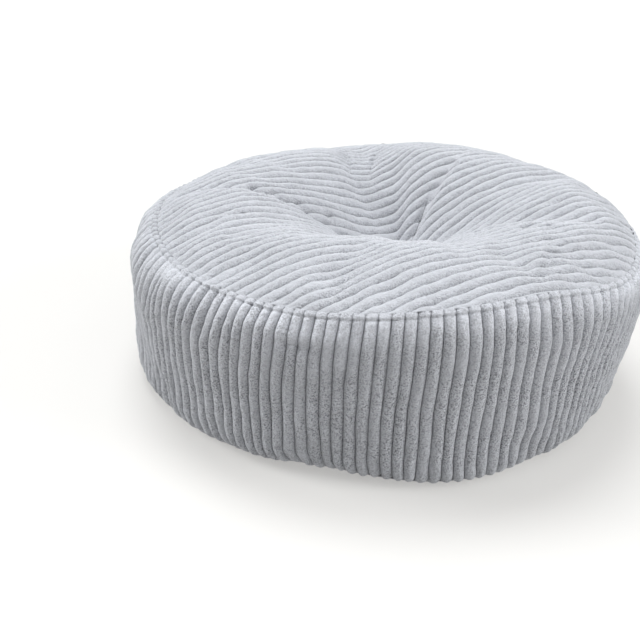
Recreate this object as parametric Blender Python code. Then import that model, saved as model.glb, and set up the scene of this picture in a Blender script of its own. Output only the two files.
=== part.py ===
"""Round bean bag footstool with a crowned, tufted top panel, a drawn-in side band and a flat base.

The filled body is divided at its two sewn seams, so each cloth piece carries the filling behind it:
the top panel with its crown and tuft, the side band as a drum that the top panel sits in, and the
base panel as a thin disc below it.
+Z is up, the front is -Y and the underside rests on z = 0.
"""
import bpy
import numpy as np

COLLECTION = "bean_bag_footstool"
MM = 0.001

# How finely the cloth is faceted.
DIRECTIONS = 112            # columns round the body
TOP_RINGS = 16              # rings on the top panel between tuft and seam
BAND_RINGS = 10             # rows down the side band between the two seams
SHEET_RINGS = 4             # rings on the hidden sheet between the top panel and the band

# Lengths in mm.
GAP = 0.36                  # upright clearance between neighbouring pieces
FOOT_SEAM_Z = 4.0           # height of the seam between band and base
BELLY_Z = 87.0              # height of the side band's widest ring
BASE_TURN = 6.0             # how far the base panel's rim turns in before it lies flat
TUFT_X, TUFT_Y = 17.0, 0.0   # where the top is tied down
TUFT_Z = 109.0              # height of the bottom of the tuft
SHEET_Z = 98.0              # height of the hidden sheet below the tuft

# Crown of the top panel. Distances run from 0 at the tuft to 1 at the seam.
CROWN_POWER = 2.1           # roundness of the fall from crest to seam

# The uneven rim, one row for each direction. Azimuth is in degrees from the front towards +X,
# crest_at is where the crown is highest, as a share of the way from tuft to seam, and tuft_power
# is the roundness of the fall from there to the tuft.
RIM_COLUMNS = ("azimuth", "foot_r", "belly_r", "shoulder_r", "seam_r", "seam_z", "crest_z", "crest_at",
               "tuft_power")
RIM_ROWS = (
    (-180, 258, 276, 274, 260, 174, 188, 0.68, 1.3),
    (-150, 256, 276, 275, 257, 162, 194, 0.65, 1.7),
    (-120, 260, 276, 272, 252, 162, 194, 0.67, 1.6),
    (-90, 264, 277, 273, 251, 168, 192, 0.67, 1.55),
    (-60, 269, 280, 280, 257, 167, 190, 0.70, 1.55),
    (-30, 264, 281, 284, 266, 171, 194, 0.62, 1.75),
    (-15, 252, 274, 277, 267, 175, 197, 0.61, 1.9),
    (10, 265, 276, 274, 264, 187, 203, 0.68, 1.8),
    (30, 259, 272, 269, 259, 189, 201, 0.70, 1.6),
    (60, 236, 272, 271, 262, 171, 197, 0.72, 2.3),
    (90, 237, 278, 273, 265, 173, 200, 0.73, 1.8),
    (120, 250, 277, 280, 279, 173, 196, 0.70, 2.0),
    (150, 257, 276, 275, 262, 182, 200, 0.66, 1.6),
    (168, 257, 276, 275, 261, 178, 198, 0.67, 1.45),
)

# Creases running out from the tuft. Azimuths are taken about the tuft, at the tuft and at the seam;
# the three depths lie a quarter, a half and five sixths of the way out; the two widths are the reach
# of the crease on the side of smaller and of larger azimuth.
CREASE_COLUMNS = ("azimuth_in", "azimuth_out", "depth_in", "depth_mid", "depth_out",
                  "width_low", "width_high")
CREASE_ROWS = (
    (-138, -170, 16, 15, 9, 40, 60),     # broad trough to the back
    (158, 153, 7, 3, 0, 8, 15),          # sharp fold, back right
    (80, 75, 5, 5, 4, 50, 45),           # shallow valley to the right
    (-88, -92, 7, 6, 2, 30, 25),         # soft crease to the left
    (-20, -22, -2, 1, 3, 15, 20),        # jog, front left
    (44, 26, 0, -3, 4, 20, 20),          # jog, front right
    (116, 120, -1, 3, 5, 22, 22),        # slight trough, right of the back
)

# Lips where the cloth on one side of a crease stands over the other. The three rises lie as the
# depths do, side is 1 towards larger azimuth and -1 towards smaller, and width is how far in from
# the crease the lip dies away.
LIP_COLUMNS = ("azimuth_in", "azimuth_out", "rise_in", "rise_mid", "rise_out", "side", "width")
LIP_ROWS = (
    (-88, -92, 2, 8, 4, 1, 60),          # the front lobe stands over the left crease
    (158, 153, 2, 2, 1, -1, 30),         # the right lobe stands over the sharp fold
)
LIP_FACE = 5.0              # width of the steep face of a lip
CREASE_STOPS = (0.0, 0.25, 0.5, 0.83, 1.0)

# Stations down the side band, from the top seam (0) to the foot seam (1).
BAND_STOPS = (0.0, 0.2, 0.46, 0.72, 0.9, 1.0)
SHOULDER_SHARE = 0.6        # how far up from belly to seam the shoulder lies
LOW_SHARE = 0.15            # how far in from belly to foot the low station lies
LOW_HEIGHT = 0.4            # its height as a share of the belly's
TURN_SHARE = 0.4            # how far in the station lies where the band turns under
TURN_HEIGHT = 0.14          # and its height


def periodic(rows, column, azimuth):
    """Smoothly joined value of one column of a table whose first column is an azimuth in degrees."""
    knots = np.array([row[0] for row in rows], float)
    values = np.array([row[column] for row in rows], float)
    knots = np.concatenate([[knots[-1] - 360], knots, knots[:2] + 360])
    values = np.concatenate([values[-1:], values, values[:2]])
    angle = (np.asarray(azimuth, float) - knots[1]) % 360 + knots[1]
    i = np.searchsorted(knots, angle, side="right") - 1
    span = knots[i + 1] - knots[i]
    t = (angle - knots[i]) / span
    slope_a = (values[i + 1] - values[i - 1]) / (knots[i + 1] - knots[i - 1]) * span
    slope_b = (values[i + 2] - values[i]) / (knots[i + 2] - knots[i]) * span
    return hermite(t, values[i], values[i + 1], slope_a, slope_b)


def hermite(t, a, b, slope_a, slope_b):
    """Cubic between two values with the given end slopes."""
    return ((2 * t**3 - 3 * t**2 + 1) * a + (t**3 - 2 * t**2 + t) * slope_a
            + (3 * t**2 - 2 * t**3) * b + (t**3 - t**2) * slope_b)


def rim(name, azimuth):
    return periodic(RIM_ROWS, RIM_COLUMNS.index(name), azimuth)


def heading(azimuth):
    """Plan direction of an azimuth: 0 is -Y and 90 is +X."""
    angle = np.radians(azimuth)
    return np.stack([np.sin(angle), -np.cos(angle)], -1)


def crease_drop(offset, t):
    """How far the creases press the top down at a plan offset from the tuft, t of the way out."""
    azimuth = np.degrees(np.arctan2(offset[..., 0], -offset[..., 1]))
    distance = np.hypot(offset[..., 0], offset[..., 1])
    drop = np.zeros_like(t)
    for inner, outer, *depths, width_low, width_high in CREASE_ROWS:
        line = outer + (inner - outer) * (1 - t) ** 2
        away = (azimuth - line + 180) % 360 - 180
        across = np.radians(away) * distance
        reach = np.where(across < 0, width_low, width_high)
        depth = np.interp(t, CREASE_STOPS, (0.0, *depths, 0.0))
        drop = drop + depth / (1 + (across / reach) ** 2 * 1.6) ** 1.5
    return drop


def lip_rise(offset, t):
    """How far the lips beside the creases stand up at a plan offset from the tuft, t of the way out."""
    azimuth = np.degrees(np.arctan2(offset[..., 0], -offset[..., 1]))
    distance = np.hypot(offset[..., 0], offset[..., 1])
    total = np.zeros_like(t)
    for inner, outer, *rises, side, width in LIP_ROWS:
        line = outer + (inner - outer) * (1 - t) ** 2
        away = (azimuth - line + 180) % 360 - 180
        onto = np.maximum(np.radians(away) * distance * side, 0)
        rise = np.interp(t, CREASE_STOPS, (0.0, *rises, 0.0))
        total = total + rise * (1 - np.exp(-(onto / LIP_FACE) ** 2)) * np.exp(-(onto / width) ** 2)
    return total


def top_point(azimuth, t):
    """Point of the top panel's outside, t of the way from the tuft to the seam."""
    azimuth, t = np.broadcast_arrays(np.asarray(azimuth, float), np.asarray(t, float))
    tuft = np.array([TUFT_X, TUFT_Y])
    seam = heading(azimuth) * rim("seam_r", azimuth)[..., None]
    plan = tuft + (seam - tuft) * t[..., None]
    crest = rim("crest_z", azimuth)
    crest_at = rim("crest_at", azimuth)
    outward = np.clip((t - crest_at) / (1 - crest_at), 0, 1)
    inward = np.clip(1 - t / crest_at, 0, 1)
    height = np.where(t > crest_at,
                      crest - (crest - rim("seam_z", azimuth)) * outward ** CROWN_POWER,
                      crest - (crest - TUFT_Z) * inward ** rim("tuft_power", azimuth))
    height = height - crease_drop(plan - tuft, t) + lip_rise(plan - tuft, t)
    return np.concatenate([plan, height[..., None]], -1)


def band_point(azimuth, s):
    """Point of the side band's outside, s of the way from the top seam down to the foot seam."""
    azimuth, s = np.broadcast_arrays(np.asarray(azimuth, float), np.asarray(s, float))
    seam_r, seam_z = rim("seam_r", azimuth), rim("seam_z", azimuth)
    belly_r, foot_r = rim("belly_r", azimuth), rim("foot_r", azimuth)
    level = np.ones_like(belly_r)
    stations = np.stack([
        np.stack([seam_r, seam_z], -1),
        np.stack([rim("shoulder_r", azimuth), BELLY_Z + (seam_z - BELLY_Z) * SHOULDER_SHARE], -1),
        np.stack([belly_r, level * BELLY_Z], -1),
        np.stack([belly_r + (foot_r - belly_r) * LOW_SHARE, level * BELLY_Z * LOW_HEIGHT], -1),
        np.stack([belly_r + (foot_r - belly_r) * TURN_SHARE, level * BELLY_Z * TURN_HEIGHT], -1),
        np.stack([foot_r, level * FOOT_SEAM_Z], -1),
    ])
    stops = np.array(BAND_STOPS)
    spans = np.diff(stops).reshape((-1,) + (1,) * (stations.ndim - 1))
    steps = np.diff(stations, axis=0) / spans
    slopes = np.concatenate([steps[:1], (steps[1:] + steps[:-1]) / 2, steps[-1:]])
    slopes[0] = 1.5 * steps[0] - 0.5 * slopes[1]
    slopes[-1] = 1.5 * steps[-1] - 0.5 * slopes[-2]
    profile = np.zeros_like(stations[0])
    for i in range(len(stops) - 1):
        span = stops[i + 1] - stops[i]
        t = ((s - stops[i]) / span)[..., None]
        piece = hermite(t, stations[i], stations[i + 1], slopes[i] * span, slopes[i + 1] * span)
        inside = (s >= stops[i])[..., None]
        profile = np.where(inside, piece, profile)
    return np.concatenate([heading(azimuth) * profile[..., :1], profile[..., 1:]], -1)


def sheet_point(azimuth, t):
    """Point of the bowl-shaped sheet that parts the top panel's filling from the band's."""
    azimuth, t = np.broadcast_arrays(np.asarray(azimuth, float), np.asarray(t, float))
    tuft = np.array([TUFT_X, TUFT_Y])
    seam = heading(azimuth) * rim("seam_r", azimuth)[..., None]
    plan = tuft + (seam - tuft) * t[..., None]
    height = SHEET_Z + (rim("seam_z", azimuth) - SHEET_Z) * t ** 1.4
    return np.concatenate([plan, height[..., None]], -1)


def shifted(points, lift):
    return points + np.array([0.0, 0.0, lift])


def skin(name, rings, start, end):
    """Closed solid from rings of points, each of DIRECTIONS points, with a pole at either end."""
    count = DIRECTIONS
    vertices = [tuple(start)]
    for ring in rings:
        vertices += [tuple(p) for p in ring]
    vertices.append(tuple(end))
    last = len(vertices) - 1
    faces = []
    for i in range(count):
        j = (i + 1) % count
        faces.append((0, 1 + i, 1 + j))
        for k in range(len(rings) - 1):
            upper, lower = 1 + k * count, 1 + (k + 1) * count
            faces.append((upper + i, lower + i, lower + j, upper + j))
        tail = 1 + (len(rings) - 1) * count
        faces.append((tail + j, tail + i, last))
    mesh = bpy.data.meshes.new(name)
    mesh.from_pydata([tuple(np.array(v) * MM) for v in vertices], [], faces)
    mesh.update()
    return mesh


def fabric(name, colour):
    material = bpy.data.materials.new(name)
    material.use_nodes = True
    shader = material.node_tree.nodes["Principled BSDF"]
    shader.inputs["Base Color"].default_value = (*colour, 1.0)
    shader.inputs["Roughness"].default_value = 0.95
    return material


def add(name, mesh, material):
    piece = bpy.data.objects.new(name, mesh)
    mesh.materials.append(material)
    for face in mesh.polygons:
        face.use_smooth = True
    bpy.data.collections[COLLECTION].objects.link(piece)
    return piece


def build():
    for old in list(bpy.data.objects):
        bpy.data.objects.remove(old, do_unlink=True)
    bpy.context.scene.collection.children.link(bpy.data.collections.new(COLLECTION))

    azimuths = np.arange(DIRECTIONS) * 360.0 / DIRECTIONS
    outward = np.linspace(0, 1, TOP_RINGS + 1)[1:]
    downward = np.linspace(0, 1, BAND_RINGS + 1)
    inward = np.linspace(1, 0, SHEET_RINGS + 1)[1:-1]
    tuft = np.array([TUFT_X, TUFT_Y])

    # Top panel: out over the crown from the tuft, then back in along the hidden sheet.
    rings = [top_point(azimuths, t) for t in outward[:-1]]
    rings.append(shifted(top_point(azimuths, 1.0), GAP / 2))
    rings += [shifted(sheet_point(azimuths, t), GAP / 2) for t in inward]
    top = skin("top_panel", rings, (*tuft, TUFT_Z), (*tuft, SHEET_Z + GAP / 2))

    # Side band: out along the sheet, down the side, and in across the base panel.
    rings = [shifted(sheet_point(azimuths, t), -GAP / 2) for t in inward[::-1]]
    rings.append(shifted(band_point(azimuths, 0.0), -GAP / 2))
    rings += [band_point(azimuths, s) for s in downward[1:-1]]
    rings.append(shifted(band_point(azimuths, 1.0), GAP / 2))
    band = skin("side_band", rings, (*tuft, SHEET_Z - GAP / 2), (0, 0, FOOT_SEAM_Z + GAP / 2))

    # Base panel: a flat disc whose rim turns up to the foot seam.
    foot = shifted(band_point(azimuths, 1.0), -GAP / 2)
    foot_r = rim("foot_r", azimuths)[:, None]
    turn = np.concatenate([heading(azimuths) * (foot_r - BASE_TURN * 0.3), np.full_like(foot_r, 1.2)], -1)
    flat = np.concatenate([heading(azimuths) * (foot_r - BASE_TURN), np.zeros_like(foot_r)], -1)
    base = skin("base_panel", [foot, turn, flat], (0, 0, FOOT_SEAM_Z - GAP / 2), (0, 0, 0))

    pieces = [
        add("top_panel", top, fabric("corduroy_top", (0.60, 0.63, 0.67))),
        add("side_band", band, fabric("corduroy_side", (0.55, 0.58, 0.62))),
        add("base_panel", base, fabric("corduroy_base", (0.52, 0.54, 0.58))),
    ]
    centre(pieces)


def centre(pieces):
    """Slide the pieces together so that the outline of the body is centred on the origin."""
    points = np.array([v.co for piece in pieces for v in piece.data.vertices])
    middle = (points.min(0) + points.max(0)) / 2
    for piece in pieces:
        for vertex in piece.data.vertices:
            vertex.co.x -= middle[0]
            vertex.co.y -= middle[1]
        piece.data.update()


build()
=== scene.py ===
"""Visual model of the round corduroy bean bag footstool: ribbed cloth panels over the filled body.

Shapes are worked out in mm about the body's own centre line, with azimuths in degrees from the front
(-Y) towards the right (+X). They are centred and turned into metres when a mesh is made.
"""

import bpy
import numpy as np
from mathutils import Matrix, Vector


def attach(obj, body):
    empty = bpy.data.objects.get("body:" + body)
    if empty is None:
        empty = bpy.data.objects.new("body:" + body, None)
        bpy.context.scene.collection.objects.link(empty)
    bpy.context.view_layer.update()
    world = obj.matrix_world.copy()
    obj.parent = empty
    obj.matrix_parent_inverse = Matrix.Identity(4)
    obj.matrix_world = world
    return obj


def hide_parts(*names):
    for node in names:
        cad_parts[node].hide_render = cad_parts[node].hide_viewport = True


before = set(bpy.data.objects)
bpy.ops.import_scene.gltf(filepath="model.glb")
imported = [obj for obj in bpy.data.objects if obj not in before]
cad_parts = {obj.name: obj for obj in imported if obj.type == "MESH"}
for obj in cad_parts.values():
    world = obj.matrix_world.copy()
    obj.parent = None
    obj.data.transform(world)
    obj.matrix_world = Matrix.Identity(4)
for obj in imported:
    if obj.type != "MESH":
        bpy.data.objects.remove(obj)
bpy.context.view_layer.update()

MM = 0.001

# -------- the body, as the solids have it (mm)
DIRECTIONS = 112
TOP_RINGS = 16
BAND_RINGS = 10
FOOT_SEAM_Z = 4.0
BELLY_Z = 87.0
TUFT = np.array([17.0, 0.0])    # where the top is tied down
TUFT_Z = 109.0
CROWN_POWER = 2.1               # roundness of the fall from the crest to the seam

# The uneven rim. crest_at is where the crown is highest, as a share of the way from the tuft to the
# seam, and tuft_power is the roundness of the fall from there to the tuft.
RIM_COLUMNS = ("azimuth", "foot_r", "belly_r", "shoulder_r", "seam_r", "seam_z", "crest_z", "crest_at",
               "tuft_power")
RIM_ROWS = (
    (-180, 258, 276, 274, 260, 174, 188, 0.68, 1.3),
    (-150, 256, 276, 275, 257, 162, 194, 0.65, 1.7),
    (-120, 260, 276, 272, 252, 162, 194, 0.67, 1.6),
    (-90, 264, 277, 273, 251, 168, 192, 0.67, 1.55),
    (-60, 269, 280, 280, 257, 167, 190, 0.70, 1.55),
    (-30, 264, 281, 284, 266, 171, 194, 0.62, 1.75),
    (-15, 252, 274, 277, 267, 175, 197, 0.61, 1.9),
    (10, 265, 276, 274, 264, 187, 203, 0.68, 1.8),
    (30, 259, 272, 269, 259, 189, 201, 0.70, 1.6),
    (60, 236, 272, 271, 262, 171, 197, 0.72, 2.3),
    (90, 237, 278, 273, 265, 173, 200, 0.73, 1.8),
    (120, 250, 277, 280, 279, 173, 196, 0.70, 2.0),
    (150, 257, 276, 275, 262, 182, 200, 0.66, 1.6),
    (168, 257, 276, 275, 261, 178, 198, 0.67, 1.45),
)

# Creases that run out from the tuft: their azimuth at the tuft and at the seam, their depth at three of
# CREASE_STOPS, and how wide they are on the side of smaller and of larger azimuth.
CREASE_COLUMNS = ("azimuth_in", "azimuth_out", "depth_in", "depth_mid", "depth_out",
                  "width_low", "width_high")
CREASE_ROWS = (
    (-138, -170, 16, 15, 9, 40, 60),     # broad trough to the back
    (158, 153, 7, 3, 0, 8, 15),          # sharp fold, back right
    (80, 75, 5, 5, 4, 50, 45),           # shallow valley to the right
    (-88, -92, 7, 6, 2, 30, 25),         # soft crease to the left
    (-20, -22, -2, 1, 3, 15, 20),        # jog, front left
    (44, 26, 0, -3, 4, 20, 20),          # jog, front right
    (116, 120, -1, 3, 5, 22, 22),        # slight trough, right of the back
)
CREASE_STOPS = (0.0, 0.25, 0.5, 0.83, 1.0)

# Lips that stand over a crease, on its side of larger (1) or of smaller (-1) azimuth.
LIP_COLUMNS = ("azimuth_in", "azimuth_out", "rise_in", "rise_mid", "rise_out", "side", "width")
LIP_ROWS = (
    (-88, -92, 2, 8, 4, 1, 60),          # the front lobe stands over the left crease
    (158, 153, 2, 2, 1, -1, 30),         # the right lobe stands over the sharp fold
)
LIP_FACE = 5.0                  # how wide the face of a lip is

# The side band's profile has six stations: seam, shoulder, belly, low, turn and foot.
BAND_STOPS = (0.0, 0.2, 0.46, 0.72, 0.9, 1.0)
SHOULDER_SHARE = 0.6            # height of the shoulder, as a share of the way from the belly to the seam
LOW_SHARE = 0.15                # share of the way from the belly's radius to the foot's
LOW_HEIGHT = 0.4                # share of the belly's height
TURN_SHARE = 0.4
TURN_HEIGHT = 0.14

# -------- the ribs
RIB_PITCH = 11.9            # mm from rib to rib on the top panel
RIB_TURN = 29.0             # degrees from +X to the run of the top panel's ribs
BAND_RIBS = 145             # upright ribs round the side band
BAND_RIB_START = -3.1       # azimuth of one of the grooves
RIB_STEPS = (-0.5, -0.43, -0.3, -0.15, 0.0, 0.15, 0.3, 0.43)   # samples across one rib
TOP_ROUND = 1.7             # how far a rib's rounded shoulders fall, in mm
BAND_ROUND = 3.0
TOP_GROOVE = 1.1            # how much further the groove between two ribs drops
BAND_GROOVE = 1.7
BASE_RELIEF = 0.25          # share of the ribs that is left under the weight

TOP_COLUMNS = 264           # samples along a top rib
BASE_COLUMNS = 90
BAND_ROWS_FINE = 26         # rows in the stretch just below the seam
BAND_ROWS_COARSE = 52       # rows from there to the foot
FINE_STRETCH = 0.12         # share of the band's height that the fine rows cover
EDGE_MARGIN = 0.4           # mm that the outermost ribs' samples keep from the ends of a panel

# How far the band's ribs stray from even spacing and from upright, in degrees of azimuth, at LEAN_STOPS.
LEAN_COLUMNS = ("azimuth", "at_seam", "at_shoulder", "at_belly", "at_low", "at_foot")
LEAN_ROWS = (
    (-150, 2.0, 2.0, 2.0, 2.0, 2.0),
    (-90, 2.8, 2.8, 2.0, 2.0, 2.4),
    (-60, 3.5, 3.6, 2.0, 2.2, 2.8),
    (-38, 3.5, 3.2, 1.8, 2.1, 3.7),
    (-28, 2.2, 1.9, 0.7, 1.1, 3.1),
    (-18, 0.9, 0.8, 0.3, 0.6, 2.0),
    (-8, 0.3, 0.2, 0.1, 0.2, 1.2),
    (2, 0.0, 0.0, -0.4, 0.0, 0.6),
    (12, -0.4, -0.2, -0.2, 0.1, 0.9),
    (22, -0.3, -0.3, 0.2, 0.3, 0.8),
    (30, 0.6, 0.9, 1.0, 1.0, 1.5),
    (37, 2.1, 2.1, 1.0, 1.2, 1.5),
    (44, 5.0, 3.5, 0.8, 1.2, 1.0),
    (50, 7.2, 4.5, 0.3, 0.8, 0.7),
    (60, 7.2, 5.0, 0.5, 0.6, 0.6),
    (75, 5.4, 4.4, 1.2, 1.0, 1.0),
    (95, 3.6, 3.2, 1.8, 1.5, 1.5),
    (120, 2.4, 2.3, 2.0, 1.9, 1.9),
    (150, 2.0, 2.0, 2.0, 2.0, 2.0),
)
LEAN_STOPS = (0.0, 0.17, 0.45, 0.72, 1.0)

# -------- unevenness of the cloth
# Cells of unevenness: length, width and height in mm, and where in the lattice they begin.
CELL_COLUMNS = ("length", "width", "height", "from_x", "from_y")
TOP_WANDER = (48, 60, 1.8, 9, 3)            # sideways wander of the top panel's ribs
TOP_WANDER_SHORT = (17, 26, 0.7, 0, 0)
TOP_LUMPS = (13, RIB_PITCH, 0.45, 0, 0.5)   # lumps in the pile
TOP_FLUFF = (4.2, 3.6, 0.28, 0, 0)
BAND_LUMPS = (14, 11.9, 0.6, 100, 0)
BAND_FLUFF = (4.0, 3.4, 0.36, 0, 0)
BAND_SWELL = (70, 45, 1.6, 30, 30)          # slow bulges of the filling behind the band

STRAY_CELL = 34             # mm along a groove from turn to turn of its own wander
STRAY_STEP = 7.3            # cells of the lattice from one groove's path to the next
TOP_STRAY = 1.0             # how far that wander goes, in mm
BAND_STRAY = 0.16           # and on the band, in degrees
BAND_SWAY = 0.25            # sway that neighbouring ribs of the band share, in degrees
BAND_SWAY_SHORT = 0.1
SWAY_SETS_IN = 8            # it sets in over one eighth of the way down from the seam
RIPPLE_BROAD = 0.9          # height of the slack waves on the top panel
RIPPLE_SHORT = 0.6
RIPPLE_BROAD_TURN = 15      # degrees about the tuft from wave to wave
RIPPLE_SHORT_TURN = 6.5
TOP_CALM = 25               # mm from the seam over which wander and folds of the top panel set in
SWELL_CALM = 25             # mm below the seam over which the band's bulges set in

# Short folds and dents in the top panel: place in mm, the way the fold runs in degrees from +X, its
# half length, the half width of its two sides, and its depth.
FOLD_COLUMNS = ("x", "y", "run", "length", "width_left", "width_right", "depth")
FOLD_ROWS = (
    (40, 56, 67, 26, 3, 2, 3),           # slit of the sharp fold, back right
    (-11, 180, 81, 36, 4, 10, 4.5),      # kinks in the trough at the back
    (-43, 176, 96, 36, 10, 4, 4.5),
    (133, -180, 72, 42, 5, 12, 3.5),     # front right
    (-64, -228, 61, 34, 5, 13, 4.0),     # front left
    (92, -157, 35, 16, 6, 6, 3.0),
    (139, -67, 20, 16, 7, 7, 3.0),
    (158, -71, 60, 13, 5, 5, 2.5),
    (141, -122, 30, 16, 6, 6, 2.5),
    (124, -196, 40, 14, 6, 6, 2.5),
    (176, 0, 15, 18, 7, 7, 2.5),
    (23, -255, 60, 16, 6, 9, 2.5),
    (-128, -130, 40, 26, 8, 8, 2.0),
    (-170, -70, 10, 24, 8, 8, 2.0),
    (137, -132, 35, 9, 4, 4, 2.8),       # short sharp dents, right
    (150, -143, 30, 8, 4, 4, 2.5),
    (136, -115, 40, 7, 4, 4, 2.2),
    (151, -80, 50, 8, 4, 4, 2.5),
    (136, -74, 40, 8, 4, 4, 2.5),
    (165, -83, 45, 8, 4, 4, 2.2),
    (90, -38, 30, 10, 4, 4, 2.0),
    (-150, 14, -40, 13, 5, 5, 4.5),      # and along the left crease
    (-122, 12, -40, 13, 5, 5, 4.5),
    (-97, 14, -40, 12, 5, 5, 4.0),
    (-66, 24, -40, 11, 5, 4, 3.5),
)
PRESSED = 6.0               # how wide the ribs are pressed flat beside the sharp fold
SLIT_SHADE = 1.7            # and how wide the painted shadow along its bottom is
SLIT_LENGTH = 1.7           # how much longer than its dent that stretch is

# Short folds across the side band: azimuth, mm below the seam, half length, half width and depth, which
# is negative for a ridge.
BAND_FOLD_COLUMNS = ("azimuth", "down", "length", "width", "depth")
BAND_FOLD_ROWS = (
    (-21, 24, 34, 7, -2.4),              # bend below the seam, front left
    (-20, 33, 34, 5, 2.4),
    (-55, 20, 40, 12, -1.5),
    (22, 30, 14, 4, 1.2),
    (12, 82, 18, 5, 1.0),
    (3, 36, 22, 6, 1.0),
    (-4, 28, 20, 6, -1.0),
    (62, 26, 34, 10, -2.0),
    (78, 45, 55, 28, -2.5),              # fuller under the seam and slacker near the foot, right
    (75, 135, 60, 26, 3.0),
    (100, 40, 50, 12, 1.5),
    (160, 30, 40, 9, 1.5),
    (-120, 36, 45, 10, 1.5),
)
BAND_FOLD_SLOPE = 0.06      # how much such a fold falls along its run
BAND_RADIUS = 270           # turns azimuths on the band into mm along it

# -------- the seams
TOP_SEAM_REACH = 7          # mm over which the top panel's ribs flatten towards the seam
TOP_SEAM_FULL = 0.35        # share of a rib that is left there
TOP_SEAM_ROUND = 0.7        # power of that change: quick beside the seam, slow further in
STITCH_DOWN = 6.0           # mm from the seam down to the topstitching
STITCH_WIDTH = 1.2
STITCH_DEPTH = 1.3          # how far the topstitching draws in the crest of a rib
STITCH_GROOVE = 1.0         # and how much further it draws in a groove
ABOVE_STITCH = 0.62         # share of a rib that is left between seam and topstitching
STITCH_STEP = 4             # mm over which the ribs get back their full height
ROLL_OUT = 0.5              # how far the strip between seam and topstitching stands out
ROLL_WIDTH = 2.4
SEAM_OUT = 3.5              # how far the filling pushes the band out beside the seam
SEAM_OUT_WITHIN = 5         # mm within which it sets in
SHOULDER_OUT = 4.0          # how much further it does so in the stretch below
SHOULDER_OUT_WITHIN = 16
OUT_FADES = 70              # mm below the seam by which both fade
SEAM_SINK = 0.5             # how far the edge of either panel dips into the seam
TOP_SINK_WIDTH = 2.0
BAND_SINK_WIDTH = 1.2
FOOT_TUCK = 6               # how far the band's last row turns in under the foot
FOOT_TUCK_Z = 1.2
BASE_INSET = 2.0            # how far inside the foot the base panel ends
BASE_EDGE = 7               # mm over which it rises to that edge
BASE_RISE = 4.6

# -------- the pile's painted light and shade, and its flecks
# Painted light and shade, kept as one attribute of the cloth.
TOP_PAINTED_SHADING = 0.95
BAND_PAINTED_SHADING = 0.88             # painted shade: the band is painted darker than the top
PAINTED_LIGHT_BELOW_SEAM = 0.30             # painted light: how much lighter the band is where it turns over below the seam
PAINTED_LIGHT_FRONT = 0.19            # and how much more so at the front than at the back
PAINTED_LIGHT_FRONT_AT = 25           # azimuth of the most
PAINTED_LIGHT_REACH = 25.0            # how far down that goes, in mm
SEAM_PAINTED_SHADE = 0.32             # painted shade: how much darker the strip beside the seam is
SEAM_PAINTED_SHADE_BACK = 0.35        # share of that which is lacking at the sides, and twice as much at the back
SEAM_PAINTED_SHADE_REACH = 7.0

# Patches of painted shade on the top panel: place in mm, half sizes, and how much darker.
PAINTED_SHADE_COLUMNS = ("x", "y", "half_x", "half_y", "darker")
PAINTED_SHADE_ROWS = (
    (-80, 15, 60, 45, 0.07),             # slope from the left lobe into the middle
    (150, -180, 80, 50, 0.05),           # edge, front right
    (80, 0, 50, 40, 0.03),
    (150, -50, 80, 90, 0.03),            # right lobe
    (20, 85, 80, 60, 0.035),             # slope behind the tuft
)
SMOOTH_PATCH = (65, 4, 26, 9)            # where the pile lies flat over the ribs: place and half sizes
SMOOTH_SHARE = 0.7                       # share of the ribs and their shade that it hides
BAND_PATCH = (-58, 14, 6, 14)            # and on the band: azimuth, mm down and half sizes
BAND_PATCH_SHARE = 0.75                  # share of the ribs that it hides
BAND_PATCH_SHADE = 0.6                   # and of their shade

# "groove" runs from 0 on the crest of a rib to about 1 in the groove beside it, which is painted darker:
# painted shade.
TOP_GROOVE_SHADE = 1.85     # twice the value in the top panel's grooves, which are a little paler
PRESSED_FLAT = 0.6          # share of the ribs that is lost beside the sharp fold
PRESSED_SHADE = 0.3         # and of their shade
SLIT_DARK = 1.1             # value at the bottom of the sharp fold, a painted shadow
STITCH_DARK = 0.96          # and along the topstitching, painted shade
FLANK_DARK = 0.12           # how much darker the painted shade in the grooves is on the band's two sides
GROOVE_UNEVEN = 0.03

# "ruffle" is how ruffled the pile is, which gives it flecks and roughness.
TOP_RUFFLE = 0.1
TOP_RUFFLE_AND_SHADE_FLANK = 0.42     # how much more on the front flank of a rib, whose dark flecks are partly painted shade
TOP_RUFFLE_AND_SHADE_FOLD = 0.4       # and in a fold, partly painted shade too
BAND_RUFFLE = 0.92
BAND_RUFFLE_BROAD = 0.45
BAND_RUFFLE_SHORT = 0.3
BAND_RUFFLE_RANGE = (0.2, 1.4)
FLANK_FROM = 48             # azimuth, either way, from which the pile of the band's sides gets calmer
FLANK_SPREAD = 25
FLANK_CALM = 0.55
SEAM_CALM = 0.4             # how much calmer it is below the seam
SEAM_CALM_REACH = 42

# -------- the material
CLOTH_COLOUR = (0.412, 0.423, 0.454, 1)
SHEEN_TINT = (0.93, 0.96, 1.0, 1.0)
FLECK_SCALE = 650.0
CLUMP_SCALE = 230.0
PATCH_SCALE = 26.0
LIGHT_FLECK = 0.26          # how much lighter the light flecks are
DARK_FLECK = 0.5            # and how much darker the dark ones
GROOVE_FROM = 0.84          # value of "groove" from which the painted shade darkens the cloth
GROOVE_TONE = 0.44          # and its tone at 1
CLUMP_BUMP = 0.9
BUMP_SMOOTH = 0.36          # height of the pile where "ruffle" is 0
BUMP_RUFFLED = 1.1          # and where it is 1
BUMP_DISTANCE = 0.0016

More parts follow.
